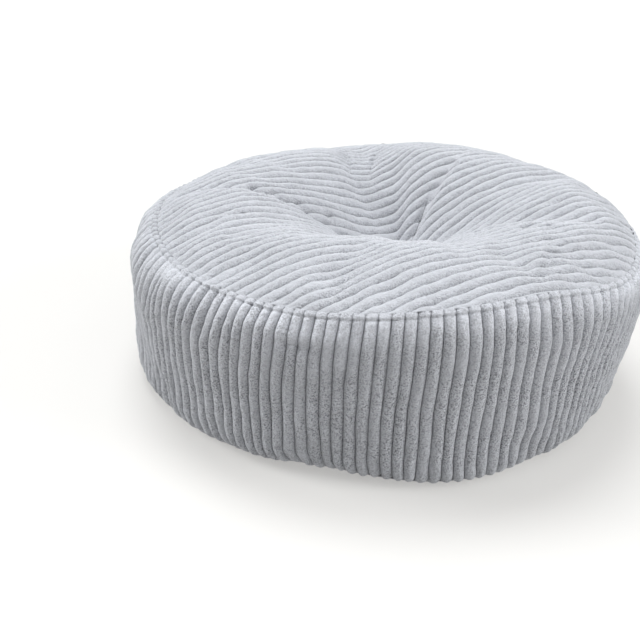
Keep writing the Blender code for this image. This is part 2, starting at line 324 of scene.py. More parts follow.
# -------- the simulated slack of the cloth
SLACK_DIRECTIONS = 216
SLACK_TOP_RINGS = 34
SLACK_BAND_ROWS = 18
SLACK_TUFT = 0.05           # share of the way out to the ring that is held by the tuft
SLACK_EXTRA = 0.04          # how much longer and wider the cloth is than the body
SLACK_PRESSURE = 4.0
SLACK_BENDING = 8.0
SLACK_QUALITY = 5
SLACK_FRAMES = 20
SLACK_BROAD = 7             # waves round the body that belong to its shape and not to its slack
SLACK_CAP = 4.0             # furthest that the slack may move the cloth, in mm
SLACK_SHARE = 0.8           # share of the simulated movement that is kept
SLACK_BACK = 0.5            # how much of it the tighter cloth at the back lacks
FOLD_AZIMUTH = 154          # the sharp fold, which keeps its set shape
FOLD_SPREAD = 9             # for so many degrees to either side

# -------- camera, floor and light
EYE = np.array([-90.0, -1030.0, 554.0])
AIM = np.array([-68.5, 76.0, 0.0])
ROLL = 3.25
LENS = 56.0
SENSOR = 36.0

FLOOR_HALF = 60.0           # metres
FLOOR_COLOUR = (0.36, 0.355, 0.345, 1)
FLOOR_GLOW_COLOUR = (1.0, 0.99, 0.97, 1)
FLOOR_GLOW = 0.38
FLOOR_ROUGHNESS = 0.9
WALL_AWAY = 40.0            # metres
WALL_HIGH = 30.0
WALL_SIDES = 64
WALL_COLOUR = (0, 0, 0, 1)
WALL_GLOW_COLOUR = (1.0, 1.0, 0.995, 1)
WALL_GLOW = 1.0
WALL_ROUGHNESS = 0.5
SKY_STRENGTH = 0.15

SUN_COLUMNS = ("name", "strength", "angle", "direction", "colour")
SUN_ROWS = (
    ("key", 2.6, 30, (0.14, -0.45, -1.0), (0.97, 0.985, 1.0)),
    ("overhead", 1.7, 100, (-0.2, 0.3, -1.0), (0.98, 0.99, 1.0)),
    ("rim_left", 2.2, 25, (0.9, -0.2, -0.42), (1, 1, 1)),
    ("rim_right", 1.7, 30, (-0.9, 0.15, -0.35), (1, 1, 1)),
)


# ======== curves and directions
def hermite(t, a, b, slope_a, slope_b):
    """Cubic between two values with the given slopes at its ends."""
    return ((2 * t**3 - 3 * t**2 + 1) * a + (t**3 - 2 * t**2 + t) * slope_a
            + (3 * t**2 - 2 * t**3) * b + (t**3 - t**2) * slope_b)


def eased(t):
    """A share from 0 to 1 that starts and ends level."""
    return t * t * (3 - 2 * t)


def periodic(rows, column, azimuth):
    """Smooth value of one column of a table whose first column is the azimuth."""
    knots = np.array([row[0] for row in rows], float)
    values = np.array([row[column] for row in rows], float)
    knots = np.concatenate([[knots[-1] - 360], knots, knots[:2] + 360])
    values = np.concatenate([values[-1:], values, values[:2]])
    angle = (np.asarray(azimuth, float) - knots[1]) % 360 + knots[1]
    i = np.searchsorted(knots, angle, side="right") - 1
    span = knots[i + 1] - knots[i]
    t = (angle - knots[i]) / span
    slope_a = (values[i + 1] - values[i - 1]) / (knots[i + 1] - knots[i - 1]) * span
    slope_b = (values[i + 2] - values[i]) / (knots[i + 2] - knots[i]) * span
    return hermite(t, values[i], values[i + 1], slope_a, slope_b)


def through(t, stops, values):
    """Smooth curve through a few stops."""
    stops, values = np.array(stops, float), np.array(values, float)
    slopes = np.gradient(values, stops)
    i = np.clip(np.searchsorted(stops, t, side="right") - 1, 0, len(stops) - 2)
    span = stops[i + 1] - stops[i]
    x = np.clip((t - stops[i]) / span, 0, 1)
    return hermite(x, values[i], values[i + 1], slopes[i] * span, slopes[i + 1] * span)


def heading(azimuth):
    """Plan direction of an azimuth."""
    angle = np.radians(azimuth)
    return np.stack([np.sin(angle), -np.cos(angle)], -1)


def azimuth_of(offset):
    """Azimuth of a plan direction."""
    return np.degrees(np.arctan2(offset[..., 0], -offset[..., 1]))


def signed(angle):
    """The same angle in degrees, from -180 to 180."""
    return (angle + 180) % 360 - 180


# ======== the body's surface
def rim(name, azimuth):
    return periodic(RIM_ROWS, RIM_COLUMNS.index(name), azimuth)


def beside_crease(offset, t, inner, outer):
    """Distance in mm from a crease's line, at an offset from the tuft that is t of the way to the seam."""
    line = outer + (inner - outer) * np.maximum(1 - t, 0) ** 2
    return np.radians(signed(azimuth_of(offset) - line)) * np.hypot(offset[..., 0], offset[..., 1])


def crease_drop(offset, t):
    """How far the creases press the top in."""
    drop = np.zeros_like(t)
    for inner, outer, *depths, width_low, width_high in CREASE_ROWS:
        across = beside_crease(offset, t, inner, outer)
        reach = np.where(across < 0, width_low, width_high)
        depth = through(t, CREASE_STOPS, (0.0, *depths, 0.0))
        drop = drop + depth / (1 + (across / reach) ** 2 * 1.6) ** 1.5
    return drop


def lip_rise(offset, t):
    """How far the lips beside the creases stand up."""
    total = np.zeros_like(t)
    for inner, outer, *rises, side, width in LIP_ROWS:
        onto = np.maximum(beside_crease(offset, t, inner, outer) * side, 0)
        rise = through(t, CREASE_STOPS, (0.0, *rises, 0.0))
        total = total + rise * (1 - np.exp(-(onto / LIP_FACE) ** 2)) * np.exp(-(onto / width) ** 2)
    return total


def crown_height(azimuth, t, offset):
    """Height of the top at an offset from the tuft, t of the way to the seam at that azimuth."""
    crest = rim("crest_z", azimuth)
    crest_at = rim("crest_at", azimuth)
    outward = np.maximum((t - crest_at) / (1 - crest_at), 0)
    inward = np.clip(1 - t / crest_at, 0, 1)
    height = np.where(t > crest_at,
                      crest - (crest - rim("seam_z", azimuth)) * outward ** CROWN_POWER,
                      crest - (crest - TUFT_Z) * inward ** rim("tuft_power", azimuth))
    return height - crease_drop(offset, t) + lip_rise(offset, t)


def top_point(azimuth, t):
    """Point of the top, t of the way from the tuft to the seam."""
    azimuth, t = np.broadcast_arrays(np.asarray(azimuth, float), np.asarray(t, float))
    seam = heading(azimuth) * rim("seam_r", azimuth)[..., None]
    plan = TUFT + (seam - TUFT) * t[..., None]
    return np.concatenate([plan, crown_height(azimuth, t, plan - TUFT)[..., None]], -1)


def band_point(azimuth, s):
    """Point of the side band, s of the way from the seam down to the foot."""
    azimuth, s = np.broadcast_arrays(np.asarray(azimuth, float), np.asarray(s, float))
    seam_r, seam_z = rim("seam_r", azimuth), rim("seam_z", azimuth)
    belly_r, foot_r = rim("belly_r", azimuth), rim("foot_r", azimuth)
    level = np.ones_like(belly_r)
    stations = np.stack([
        np.stack([seam_r, seam_z], -1),
        np.stack([rim("shoulder_r", azimuth), BELLY_Z + (seam_z - BELLY_Z) * SHOULDER_SHARE], -1),
        np.stack([belly_r, level * BELLY_Z], -1),
        np.stack([belly_r + (foot_r - belly_r) * LOW_SHARE, level * BELLY_Z * LOW_HEIGHT], -1),
        np.stack([belly_r + (foot_r - belly_r) * TURN_SHARE, level * BELLY_Z * TURN_HEIGHT], -1),
        np.stack([foot_r, level * FOOT_SEAM_Z], -1),
    ])
    stops = np.array(BAND_STOPS)
    spans = np.diff(stops).reshape((-1,) + (1,) * (stations.ndim - 1))
    steps = np.diff(stations, axis=0) / spans
    slopes = np.concatenate([steps[:1], (steps[1:] + steps[:-1]) / 2, steps[-1:]])
    slopes[0] = 1.5 * steps[0] - 0.5 * slopes[1]
    slopes[-1] = 1.5 * steps[-1] - 0.5 * slopes[-2]
    profile = np.zeros_like(stations[0])
    for i in range(len(stops) - 1):
        span = stops[i + 1] - stops[i]
        t = ((s - stops[i]) / span)[..., None]
        piece = hermite(t, stations[i], stations[i + 1], slopes[i] * span, slopes[i + 1] * span)
        profile = np.where((s >= stops[i])[..., None], piece, profile)
    return np.concatenate([heading(azimuth) * profile[..., :1], profile[..., 1:]], -1)


def body_middle():
    """Plan centre of the solids' outline before they were centred on the origin."""
    azimuths = (np.arange(DIRECTIONS) * 360.0 / DIRECTIONS)[:, None]
    side = band_point(azimuths, np.linspace(0, 1, BAND_RINGS + 1)[None, :])
    crown = top_point(azimuths, np.linspace(0, 1, TOP_RINGS + 1)[None, 1:])
    points = np.concatenate([side.reshape(-1, 3), crown.reshape(-1, 3)])
    middle = (points.min(0) + points.max(0)) / 2
    middle[2] = 0.0
    return middle


MIDDLE = body_middle()

# Seam curve about the tuft, for turning a plan position into a direction and a share of the way out.
SEAM_AZ = np.arange(-180, 180.01, 0.25)
SEAM_OFFSET = heading(SEAM_AZ) * rim("seam_r", SEAM_AZ)[:, None] - TUFT
SEAM_ANGLE = np.degrees(np.unwrap(np.arctan2(SEAM_OFFSET[:, 0], -SEAM_OFFSET[:, 1])))
SEAM_REACH = np.hypot(SEAM_OFFSET[:, 0], SEAM_OFFSET[:, 1])


def polar(plan):
    """Azimuth of the seam point on the ray from the tuft through a plan point, the point's share of the
    way there, and the length of that way."""
    offset = plan - TUFT
    angle = (azimuth_of(offset) - SEAM_ANGLE[0]) % 360 + SEAM_ANGLE[0]
    azimuth = np.interp(angle, SEAM_ANGLE, SEAM_AZ)
    reach = np.interp(angle, SEAM_ANGLE, SEAM_REACH)
    return azimuth, np.hypot(offset[..., 0], offset[..., 1]) / reach, reach


# ======== unevenness
class Grain:
    """Smooth repeatable unevenness: a seeded lattice of values, read with smooth steps between."""

    def __init__(self, seed, size=256):
        self.size = size
        self.values = np.random.RandomState(seed).uniform(-1, 1, (size, size))

    def at(self, x, y):
        x, y = np.broadcast_arrays(x, y)
        ix, iy = np.floor(x).astype(int), np.floor(y).astype(int)
        fx, fy = eased(x - ix), eased(y - iy)
        a = self.values[ix % self.size, iy % self.size]
        b = self.values[(ix + 1) % self.size, iy % self.size]
        c = self.values[ix % self.size, (iy + 1) % self.size]
        d = self.values[(ix + 1) % self.size, (iy + 1) % self.size]
        return (a * (1 - fx) + b * fx) * (1 - fy) + (c * (1 - fx) + d * fx) * fy

    def relief(self, x, y, cell):
        """Height at a place in mm, for one row of CELL_COLUMNS."""
        length, width, height, from_x, from_y = cell
        return self.at(x / length + from_x, y / width + from_y) * height


uneven = Grain(11)
fine = Grain(23)
wander = Grain(37)


def stray(u, number, place):
    """Sideways wander of the grooves, each on its own path, shared out over the rib between them."""
    low = fine.at(u / STRAY_CELL, number[:, None] * STRAY_STEP + 3)
    high = fine.at(u / STRAY_CELL, (number[:, None] + 1) * STRAY_STEP + 3)
    share = place[:, None] + 0.5
    return low * (1 - share) + high * share


def ripples(plan, t):
    """Slack of the cloth between tuft and seam: low waves that run outwards."""
    angle = azimuth_of(plan - TUFT) % 360
    broad = uneven.at(angle / RIPPLE_BROAD_TURN, t * 2.2 + 20)
    short = fine.at(angle / RIPPLE_SHORT_TURN, t * 3.0 + 60)
    swell = np.clip((t - 0.12) / 0.25, 0, 1) * (1 - 0.6 * np.clip((t - 0.85) / 0.15, 0, 1))
    return (RIPPLE_BROAD * broad + RIPPLE_SHORT * short) * swell


# ======== the simulated slack
class Slack:
    """Ripples of cloth a little too large for the body, blown up between tuft, seam and foot seam."""

    def __init__(self):
        self.azimuth = np.arange(SLACK_DIRECTIONS) * 360.0 / SLACK_DIRECTIONS
        self.top_t = np.linspace(SLACK_TUFT, 1, SLACK_TOP_RINGS)
        self.band_s = np.linspace(0, 1, SLACK_BAND_ROWS + 1)
        top = top_point(self.azimuth[None, :], self.top_t[:, None])
        band = band_point(self.azimuth[None, :], self.band_s[1:, None])
        start = np.concatenate([top, band])
        ripple = np.zeros(start.shape[:2])
        ripple = self.only_ripples(self.simulate(start))
        self.top = ripple[:SLACK_TOP_RINGS]
        self.band = ripple[SLACK_TOP_RINGS - 1:]

    def simulate(self, start):
        """How far each point of the cloth settles outwards, in mm."""
        rings = len(start)
        index = np.arange(rings * SLACK_DIRECTIONS).reshape(rings, SLACK_DIRECTIONS)
        beside = np.roll(index, -1, axis=1)
        quads = np.stack([index[:-1], index[1:], beside[1:], beside[:-1]], -1).reshape(-1, 4)
        mesh = bpy.data.meshes.new("slack")
        mesh.from_pydata((start.reshape(-1, 3) * MM).tolist(), [], quads.tolist())
        mesh.update()
        normals = np.zeros(len(mesh.vertices) * 3)
        mesh.vertices.foreach_get("normal", normals)
        normals = normals.reshape(start.shape)
        cloth = bpy.data.objects.new("slack", mesh)
        bpy.context.scene.collection.objects.link(cloth)
        sewn = cloth.vertex_groups.new(name="sewn")
        for ring in (0, SLACK_TOP_RINGS - 1, rings - 1):
            sewn.add(index[ring].tolist(), 1.0, "REPLACE")
        modifier = cloth.modifiers.new("slack", "CLOTH")
        settings = modifier.settings
        settings.quality = SLACK_QUALITY
        settings.vertex_group_mass = "sewn"
        settings.use_pressure = True
        settings.uniform_pressure_force = SLACK_PRESSURE
        settings.effector_weights.gravity = 0
        settings.shrink_min = -SLACK_EXTRA
        settings.bending_stiffness = SLACK_BENDING
        modifier.collision_settings.use_collision = False
        modifier.point_cache.frame_start = 1
        modifier.point_cache.frame_end = SLACK_FRAMES
        for frame_number in range(1, SLACK_FRAMES + 1):
            bpy.context.scene.frame_set(frame_number)
        settled = cloth.evaluated_get(bpy.context.evaluated_depsgraph_get()).to_mesh()
        places = np.zeros(len(settled.vertices) * 3)
        settled.vertices.foreach_get("co", places)
        moved = ((places.reshape(start.shape) / MM - start) * normals).sum(-1)
        bpy.context.scene.frame_set(1)
        bpy.data.objects.remove(cloth, do_unlink=True)
        bpy.data.meshes.remove(mesh)
        return moved

    def only_ripples(self, moved):
        """That movement without its broad waves, smoothed, eased at the back and the fold, and capped."""
        waves = np.fft.rfft(moved, axis=1)
        waves[:, :SLACK_BROAD] = 0
        ripple = np.fft.irfft(waves, n=SLACK_DIRECTIONS, axis=1)
        ripple = (np.roll(ripple, 1, 1) + 2 * ripple + np.roll(ripple, -1, 1)) / 4
        ripple *= SLACK_SHARE * (1 - SLACK_BACK * np.clip(-np.cos(np.radians(self.azimuth)), 0, 1))
        ripple *= 1 - np.exp(-((self.azimuth - FOLD_AZIMUTH) / FOLD_SPREAD) ** 2)
        return SLACK_CAP * np.tanh(ripple / SLACK_CAP)

    def read(self, field, stops, azimuth, share):
        """Smooth value of a simulated field at any direction and share of the way."""
        column = (azimuth % 360) / 360 * SLACK_DIRECTIONS
        left = np.floor(column).astype(int)
        row = np.clip((share - stops[0]) / (stops[-1] - stops[0]), 0, 1) * (len(stops) - 1)
        upper = np.minimum(np.floor(row).astype(int), len(stops) - 2)
        across, along = eased(column - left), eased(row - upper)
        a, b = left % SLACK_DIRECTIONS, (left + 1) % SLACK_DIRECTIONS
        near = field[upper, a] * (1 - across) + field[upper, b] * across
        far = field[upper + 1, a] * (1 - across) + field[upper + 1, b] * across
        return near * (1 - along) + far * along

    def on_top(self, azimuth, t):
        return self.read(self.top, self.top_t, azimuth, t)

    def on_band(self, azimuth, s):
        return self.read(self.band, self.band_s, azimuth, s)


slack = Slack()


# ======== grids and meshes
def surface_normals(points):
    """Unit normals of a grid of points, from its two directions."""
    a = np.gradient(points, axis=0)
    b = np.gradient(points, axis=1)
    n = np.cross(a, b)
    return n / np.maximum(np.linalg.norm(n, axis=-1, keepdims=True), 1e-9)


def sheet_mesh(name, points, wrap, attributes, flip=False):
    """Grid of points (rows, columns) as a mesh; wrap joins the first and last row."""
    rows, columns = points.shape[:2]
    index = np.arange(rows * columns).reshape(rows, columns)
    nxt = np.roll(index, -1, axis=0) if wrap else index[1:]
    cur = index if wrap else index[:-1]
    quads = np.stack([cur[:, :-1], nxt[:, :-1], nxt[:, 1:], cur[:, 1:]], -1).reshape(-1, 4)
    if flip:
        quads = quads[:, ::-1]
    mesh = bpy.data.meshes.new(name)
    flat = (points.reshape(-1, 3) - MIDDLE) * MM
    mesh.vertices.add(len(flat))
    mesh.vertices.foreach_set("co", flat.astype(np.float32).ravel())
    mesh.loops.add(quads.size)
    mesh.loops.foreach_set("vertex_index", quads.astype(np.int32).ravel())
    mesh.polygons.add(len(quads))
    mesh.polygons.foreach_set("loop_start", np.arange(0, quads.size, 4, dtype=np.int32))
    mesh.polygons.foreach_set("use_smooth", np.ones(len(quads), bool))
    mesh.update(calc_edges=True)
    mesh.validate()
    for label, values in attributes.items():
        layer = mesh.attributes.new(label, "FLOAT", "POINT")
        layer.data.foreach_set("value", values.astype(np.float32).ravel())
    piece = bpy.data.objects.new(name, mesh)
    bpy.context.scene.collection.objects.link(piece)
    return piece


# ======== ribs
RUN = np.radians(RIB_TURN)
ALONG = np.array([np.cos(RUN), np.sin(RUN)])
ACROSS = np.array([-np.sin(RUN), np.cos(RUN)])


def rib_relief(across, fall, groove):
    """Depth below a rib's crest, across it from -0.5 to 0.5."""
    x = np.abs(across) * 2
    return fall * x ** 2 + groove * x ** 10


def rib_rows(low, high, pitch):
    """Positions across the cloth and their place on their rib, for whole ribs between two limits."""
    first, last = int(np.floor(low / pitch)) - 1, int(np.ceil(high / pitch)) + 1
    across = np.array([(k + step) * pitch for k in range(first, last + 1) for step in RIB_STEPS])
    place = np.array([step for k in range(first, last + 1) for step in RIB_STEPS])
    keep = (across > low) & (across < high)
    return across[keep], place[keep]


def chord_ends(curve, across, along_axis, across_axis):
    """Where straight lines at given distances across meet a closed curve: their two ends along."""
    v = curve @ across_axis
    u = curve @ along_axis
    top, bottom = int(np.argmax(v)), int(np.argmin(v))
    rolled = np.roll(np.arange(len(v)), -bottom)
    turn = int(np.where(rolled == top)[0][0])
    up, down = rolled[:turn + 1], np.append(rolled[turn:], rolled[0])
    one = np.interp(across, v[up], u[up])
    other = np.interp(across, v[down][::-1], u[down][::-1])
    return np.minimum(one, other), np.maximum(one, other)


def ribbed_grid(outline, share):
    """Samples of a round panel: their place on their rib, and distances along and across the ribs."""
    spread = outline @ ACROSS
    across, place = rib_rows(spread.min() + EDGE_MARGIN, spread.max() - EDGE_MARGIN, RIB_PITCH)
    start, end = chord_ends(outline, across, ALONG, ACROSS)
    u = start[:, None] + (end - start)[:, None] * share
    v = np.broadcast_to(across[:, None], u.shape)
    return place, u, v


def on_plan(u, v):
    """Plan points from distances along and across the ribs."""
    return u[..., None] * ALONG + v[..., None] * ACROSS


# ======== the top panel
def beside_line(plan, x, y, run):
    """Distances along and across a line through a place, which runs at an angle from +X."""
    angle = np.radians(run)
    dx, dy = plan[..., 0] - x, plan[..., 1] - y
    return dx * np.cos(angle) + dy * np.sin(angle), dy * np.cos(angle) - dx * np.sin(angle)


def small_folds(plan):
    """How far the short folds and dents press the top panel in."""
    drop = np.zeros(plan.shape[:-1])
    for x, y, run, length, left, right, depth in FOLD_ROWS:
        along, across = beside_line(plan, x, y, run)
        reach = np.where(across > 0, left, right)
        drop = drop + depth * np.exp(-(along / length) ** 2 - np.abs(across / reach) ** 1.5)
    return drop


def slit(plan, width):
    """How near the cloth is to the bottom of the sharp fold."""
    x, y, run, length = FOLD_ROWS[0][:4]
    along, across = beside_line(plan, x, y, run)
    return np.exp(-(along / (SLIT_LENGTH * length)) ** 4) * np.exp(-(across / width) ** 2)


def spot(plan, x, y, half_x, half_y):
    """A soft patch, 1 in its middle."""
    return np.exp(-((plan[..., 0] - x) / half_x) ** 2 - ((plan[..., 1] - y) / half_y) ** 2)


def top_painted_shading(plan):
    """Painted light and shade of the top panel: its painted tone less the patches of painted shade."""
    shade = np.full(plan.shape[:-1], TOP_PAINTED_SHADING)
    for *place, darker in PAINTED_SHADE_ROWS:
        shade -= darker * spot(plan, *place)
    return shade


def top_piece():
    """The top panel's cloth."""
    seam = (heading(SEAM_AZ) * rim("seam_r", SEAM_AZ)[:, None])[:-1]
    place, u, v = ribbed_grid(seam, np.linspace(0, 1, TOP_COLUMNS))
    number = np.round(v[:, 0] / RIB_PITCH - place).astype(int)
    plan = on_plan(u, v)
    azimuth, t, reach = polar(plan)
    inside = np.clip((1 - t) * reach / TOP_CALM, 0, 1)
    shift = wander.relief(u, v, TOP_WANDER) + wander.relief(u, v, TOP_WANDER_SHORT)
    shift = (shift + stray(u, number, place) * TOP_STRAY) * inside
    plan = plan + shift[..., None] * ACROSS

    azimuth, t, reach = polar(plan)
    edge = (1 - t) * reach                      # mm to the seam, measured from the tuft outwards
    folds = small_folds(plan) * inside
    height = crown_height(azimuth, t, plan - TUFT) - folds + ripples(plan, t)
    height = height + slack.on_top(azimuth, t)
    points = np.concatenate([plan, height[..., None]], -1)
    normals = surface_normals(points)
    normals *= np.sign(normals[..., 2:3])

    ribbed = 1 - SMOOTH_SHARE * spot(plan, *SMOOTH_PATCH)
    pressed = slit(plan, PRESSED)
    rib = rib_relief(place, TOP_ROUND, TOP_GROOVE)[:, None] * ribbed
    full = TOP_SEAM_FULL + (1 - TOP_SEAM_FULL) * np.clip(edge / TOP_SEAM_REACH, 0, 1) ** TOP_SEAM_ROUND
    full = full * (1 - PRESSED_FLAT * pressed)
    lump = uneven.relief(u, v, TOP_LUMPS) + fine.relief(u, v, TOP_FLUFF)
    sink = rib * full - lump * full + SEAM_SINK * np.exp(-(edge / TOP_SINK_WIDTH) ** 2)
    points = points - normals * sink[..., None]

    # painted shade in the grooves, less where the pile lies flat or is pressed
    groove = np.abs(place)[:, None] * TOP_GROOVE_SHADE * ribbed * (1 - PRESSED_SHADE * pressed)
    # painted shadow along the bottom of the sharp fold
    groove = np.maximum(groove, SLIT_DARK * slit(plan, SLIT_SHADE))
    # dark flecks on the front flank of a rib and in folds: partly the pile, partly painted shade
    front_flank = np.clip(0.3 - place[:, None] * 2.4, 0, 1)
    ruffle = TOP_RUFFLE + TOP_RUFFLE_AND_SHADE_FLANK * front_flank + TOP_RUFFLE_AND_SHADE_FOLD * np.clip(folds / 3, 0, 1)
    # the last of these shades is painted light and shade
    shades = {"groove": groove, "ruffle": ruffle, "painted_shading": top_painted_shading(plan)}
    return sheet_mesh("top_cloth", points, False, shades)


# ======== the side band
def lean(azimuth, s):
    """How far a rib of the side band strays from even spacing and from upright, in degrees of azimuth."""
    values = [periodic(LEAN_ROWS, column, azimuth) for column in range(1, len(LEAN_COLUMNS))]
    total = values[-1]
    for i in range(len(LEAN_STOPS) - 2, -1, -1):
        share = np.clip((s - LEAN_STOPS[i]) / (LEAN_STOPS[i + 1] - LEAN_STOPS[i]), 0, 1)
        blend = values[i] + (values[i + 1] - values[i]) * share * share * (3 - 2 * share)
        total = np.where(s <= LEAN_STOPS[i + 1], blend, total)
    return total


def band_rows():
    """Shares of the way down at which the band is sampled."""
    fine_rows = np.linspace(0, FINE_STRETCH, BAND_ROWS_FINE + 1)
    coarse = np.linspace(FINE_STRETCH, 1, BAND_ROWS_COARSE + 1)[1:]
    return np.concatenate([fine_rows, coarse])


def band_folds(azimuth, down):
    """How far the short folds press the band in."""
    drop = np.zeros(azimuth.shape)
    for centre, level, length, width, depth in BAND_FOLD_ROWS:
        along = np.radians(signed(azimuth - centre)) * BAND_RADIUS
        across = down - level - along * BAND_FOLD_SLOPE
        drop = drop + depth * np.exp(-(along / length) ** 2 - np.abs(across / width) ** 1.6)
    return drop


def band_patch(azimuth, down):
    """The patch where the band's pile lies flat, 1 in its middle."""
    centre, level, half_arc, half_down = BAND_PATCH
    return np.exp(-signed(azimuth - centre) ** 2 / half_arc ** 2 - ((down - level) / half_down) ** 2)


def seam_swell(down):
    """How far the filling pushes the band out beside the seam and below it."""
    out = (SEAM_OUT * (1 - np.exp(-down / SEAM_OUT_WITHIN))
           + SHOULDER_OUT * (1 - np.exp(-down / SHOULDER_OUT_WITHIN)))
    return out * np.exp(-(down / OUT_FADES) ** 2)


def band_ruffle(arc, down, flank):
    """How ruffled the band's pile is: in patches, calmer below the seam and on the band's two sides."""
    ruffle = (BAND_RUFFLE + BAND_RUFFLE_BROAD * uneven.at(down / 24 + 10, arc / 15)
              + BAND_RUFFLE_SHORT * fine.at(down / 9, arc / 9))
    calm = 1 - SEAM_CALM * np.exp(-(down / SEAM_CALM_REACH) ** 2)
    return np.clip(ruffle, *BAND_RUFFLE_RANGE) * (1 - FLANK_CALM * flank) * calm


def band_painted_shading(azimuth, down):
    """Painted light and shade of the band: darker than the top, lighter below the seam, darker beside it."""
    # painted light on the strip below the seam, most towards the front
    painted_strip_light = PAINTED_LIGHT_BELOW_SEAM + PAINTED_LIGHT_FRONT * np.cos(np.radians(azimuth - PAINTED_LIGHT_FRONT_AT))
    painted_shading = BAND_PAINTED_SHADING + painted_strip_light * np.exp(-(down / PAINTED_LIGHT_REACH) ** 2.5)
    # painted shade on the strip beside the seam, most at the front
    painted_seam_shade = SEAM_PAINTED_SHADE * (1 - SEAM_PAINTED_SHADE_BACK + SEAM_PAINTED_SHADE_BACK * np.cos(np.radians(azimuth)))
    return painted_shading - painted_seam_shade * np.exp(-(down / SEAM_PAINTED_SHADE_REACH) ** 2)


def with_last(values):
    """Values of the band's rows with the last one repeated, for the row that turns in under the foot."""
    return np.concatenate([values, values[:, -1:]], 1)


def band_piece():
    """The side band's cloth, from the seam down and in under the foot."""
    place = np.tile(np.array(RIB_STEPS), BAND_RIBS)
    number = np.repeat(np.arange(BAND_RIBS), len(RIB_STEPS))
    step = 360.0 / BAND_RIBS
    azimuth, s = np.meshgrid(BAND_RIB_START + (number + 0.5 + place) * step, band_rows(), indexing="ij")
    sway = (wander.at(azimuth / 7 + 50, s * 3 + 7) * BAND_SWAY
            + wander.at(azimuth / 2.3, s * 9) * BAND_SWAY_SHORT)
    sway = sway + stray(s * 200 + 500, number, place) * BAND_STRAY
    points = band_point(azimuth + lean(azimuth, s) + sway * np.clip(s * SWAY_SETS_IN, 0, 1), s)
    steps = np.linalg.norm(np.diff(points, axis=1), axis=-1)
    down = np.concatenate([np.zeros((len(azimuth), 1)), np.cumsum(steps, axis=1)], 1)
    arc = azimuth * np.pi / 180 * BAND_RADIUS
    wrapped = np.concatenate([points[-1:], points, points[:1]])
    normals = surface_normals(wrapped)[1:-1]
    outward = np.concatenate([heading(azimuth), np.zeros_like(s)[..., None]], -1)
    normals *= np.sign((normals * outward).sum(-1, keepdims=True))

    patch = band_patch(azimuth, down)
    rib = rib_relief(place, BAND_ROUND, BAND_GROOVE)[:, None] * (1 - BAND_PATCH_SHARE * patch)
    below_stitch = np.clip((down - STITCH_DOWN + 1) / STITCH_STEP, 0, 1)
    full = ABOVE_STITCH + (1 - ABOVE_STITCH) * below_stitch
    lump = uneven.relief(down, arc, BAND_LUMPS) + fine.relief(down, arc, BAND_FLUFF)
    swell = uneven.relief(arc, down, BAND_SWELL) * np.clip(down / SWELL_CALM, 0, 1)
    drawn = np.exp(-((down - STITCH_DOWN) / STITCH_WIDTH) ** 2) * (0.8 + 0.4 * uneven.at(arc / 9, 0.5))
    stitch = drawn * (STITCH_DEPTH + STITCH_GROOVE * (np.abs(place)[:, None] * 2) ** 4)
    roll = ROLL_OUT * np.exp(-((down - STITCH_DOWN * 0.5) / ROLL_WIDTH) ** 2)
    sink = rib * full - lump + stitch - roll - swell - seam_swell(down)
    sink = sink + SEAM_SINK * np.exp(-(down / BAND_SINK_WIDTH) ** 2)
    sink = sink + band_folds(azimuth, down) - slack.on_band(azimuth, s)
    points = points - normals * sink[..., None]
    tuck = points[:, -1:].copy()
    tuck[..., :2] -= outward[:, -1:, :2] * FOOT_TUCK
    tuck[..., 2] = FOOT_TUCK_Z
    points = np.concatenate([points, tuck], 1)

    flank = np.clip((np.abs(signed(azimuth)) - FLANK_FROM) / FLANK_SPREAD, 0, 1)
    # painted shade in the grooves and along the topstitching, darker on the band's two sides
    groove = np.abs(place)[:, None] * 2 * (1 - BAND_PATCH_SHADE * patch) * (0.94 + 0.06 * below_stitch)
    groove = groove * (1 - GROOVE_UNEVEN + GROOVE_UNEVEN * uneven.at(arc / 30 + 5, down / 30))
    groove = np.maximum(groove, STITCH_DARK * drawn) * (1 + FLANK_DARK * flank)
    shades = {"groove": groove, "ruffle": band_ruffle(arc, down, flank), "painted_shading": band_painted_shading(azimuth, down)}
    shades = {label: with_last(values) for label, values in shades.items()}
    return sheet_mesh("band_cloth", points, True, shades, flip=True)


# ======== the base panel
def base_piece():
    """The base panel's cloth, pressed nearly flat, with an edge that rises to the foot seam."""
    foot = (heading(SEAM_AZ) * (rim("foot_r", SEAM_AZ)[:, None] - BASE_INSET))[:-1]
    place, u, v = ribbed_grid(foot, 0.5 - 0.5 * np.cos(np.linspace(0, np.pi, BASE_COLUMNS)))
    plan = on_plan(u, v)
    radius = np.linalg.norm(plan, axis=-1)
    edge = np.clip(rim("foot_r", azimuth_of(plan)) - BASE_INSET - radius, 0, None)
    rise = BASE_RISE * np.clip(1 - edge / BASE_EDGE, 0, 1) ** 2
    height = BASE_RELIEF * rib_relief(place, TOP_ROUND, TOP_GROOVE)[:, None] + rise
    points = np.concatenate([plan, height[..., None]], -1)
    # painted shade in the grooves, and the band's painted shade
    groove = np.abs(place)[:, None] * 2 * np.ones_like(u)
    shades = {"groove": groove, "ruffle": np.ones_like(u), "painted_shading": np.full(u.shape, BAND_PAINTED_SHADING)}
    return sheet_mesh("base_cloth", points, False, shades, flip=True)


